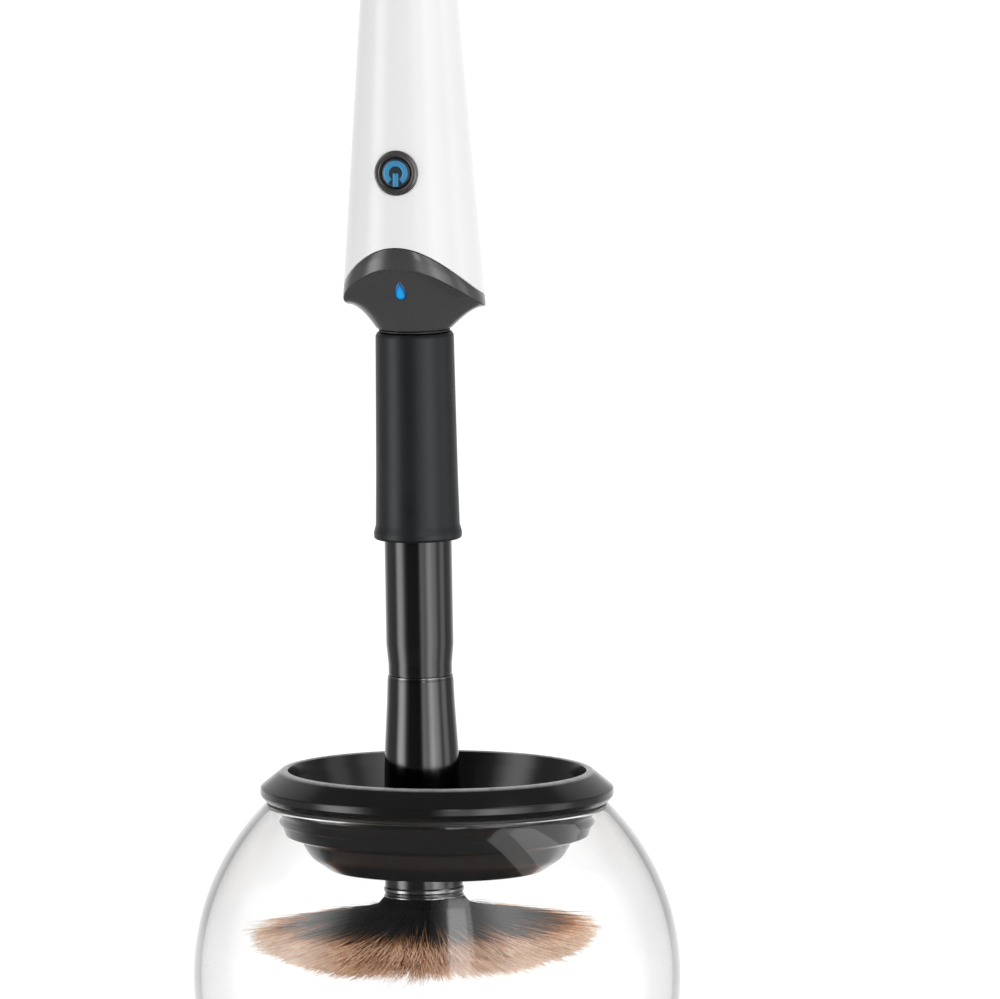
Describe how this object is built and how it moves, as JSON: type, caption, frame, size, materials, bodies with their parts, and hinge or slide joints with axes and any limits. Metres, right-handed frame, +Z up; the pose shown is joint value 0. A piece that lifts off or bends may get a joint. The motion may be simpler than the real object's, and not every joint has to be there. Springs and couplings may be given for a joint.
{
  "type": "brush cleaner",
  "caption": "Battery spinner whose rubber collar grips a make-up brush and spins it clean in a round glass bowl with a splash guard.",
  "frame": {"origin": "centre of the bowl's flat foot, on the surface it stands on", "axes": "+Z up, -Y the side that the spinner's power button and light face, +X to the right seen from the front"},
  "size_m": [0.13, 0.13, 0.387],
  "materials": {
    "glass": "clear, polished",
    "white_plastic": "high gloss",
    "cap_plastic": "satin",
    "black_plastic": "semi-gloss",
    "chassis_plastic": "moulded",
    "motor_plastic": "moulded",
    "rubber": "matte",
    "blue_light": "translucent",
    "board": "solder mask",
    "chip": "moulded",
    "magnet": "sintered ferrite",
    "cell_jacket": "printed jacket without marks",
    "lacquer": "black lacquer",
    "hair": "soft fibres, dark roots and tan tips",
    "red_wire": "smooth",
    "black_wire": "smooth",
    "black_chrome": "black, polished",
    "steel": "plated",
    "brass": "bare"
  },
  "bodies": {
    "bowl": {"bowl": "glass"},
    "guard": {"splash_guard": "black_plastic", "guard_seal": "rubber"},
    "spinner": {"handle_shell": "white_plastic", "lower_cap": "cap_plastic", "cap_o_ring": "rubber", "led_window": "blue_light", "indicator_led": "blue_light", "led_lead": "black_wire", "button_bezel": "cap_plastic", "button_seal": "rubber", "motor_can": "steel", "motor_end_bell": "motor_plastic", "motor_magnet_left": "magnet", "motor_magnet_right": "magnet", "motor_holder": "chassis_plastic", "holder_screw_front": "steel", "holder_screw_rear": "steel", "shaft_bush": "brass", "shaft_seal": "rubber", "circuit_board": "board", "tact_switch": "chip", "driver_chip": "chip", "motor_terminal_left": "brass", "motor_terminal_right": "brass", "motor_lead_left": "red_wire", "motor_lead_right": "black_wire", "battery_tube_front": "chassis_plastic", "battery_tube_rear": "chassis_plastic", "tube_screw_left": "steel", "tube_screw_right": "steel", "cell_lower": "cell_jacket", "cell_upper": "cell_jacket", "positive_contact": "brass", "negative_strip": "brass", "supply_lead": "red_wire"},
    "button": {"button_cap": "black_plastic", "symbol_ring": "blue_light", "symbol_bar": "blue_light", "switch_plunger": "black_plastic"},
    "battery_cap": {"battery_cap": "white_plastic", "contact_spring": "steel"},
    "spindle": {"spindle": "black_plastic", "motor_rotor": "steel"},
    "collar": {"collar": "rubber"},
    "brush": {"brush_handle": "lacquer", "brush_ferrule": "black_chrome", "brush_bristles": "hair"}
  },
  "joints": [
    {"name": "guard_lift", "type": "slide", "parent": "bowl", "child": "guard", "axis": [0, 0, 1], "range_m": [0, 0.08]},
    {"name": "spinner_dip", "type": "slide", "parent": "bowl", "child": "spinner", "axis": [0.0158, 0.0042, -0.9999], "range_m": [-0.006, 0.013]},
    {"name": "power_press", "type": "slide", "parent": "spinner", "child": "button", "axis": [0.0011, 0.9976, -0.0695], "range_m": [0, 0.0008], "stiffness_N_per_m": 2000},
    {"name": "battery_cap_pull", "type": "slide", "parent": "spinner", "child": "battery_cap", "axis": [-0.0158, -0.0042, 0.9999], "range_m": [0, 0.02]},
    {"name": "spin", "type": "hinge", "parent": "spinner", "child": "spindle", "pos_m": [-0.00575, -0.00154, 0.222], "axis": [-0.0158, -0.0042, 0.9999], "continuous": true},
    {"name": "collar_pull", "type": "slide", "parent": "spindle", "child": "collar", "axis": [0.0158, 0.0042, -0.9999], "range_m": [0, 0.015]},
    {"name": "brush_pull", "type": "slide", "parent": "collar", "child": "brush", "axis": [0.0158, 0.0042, -0.9999], "range_m": [0, 0.016]}
  ]
}
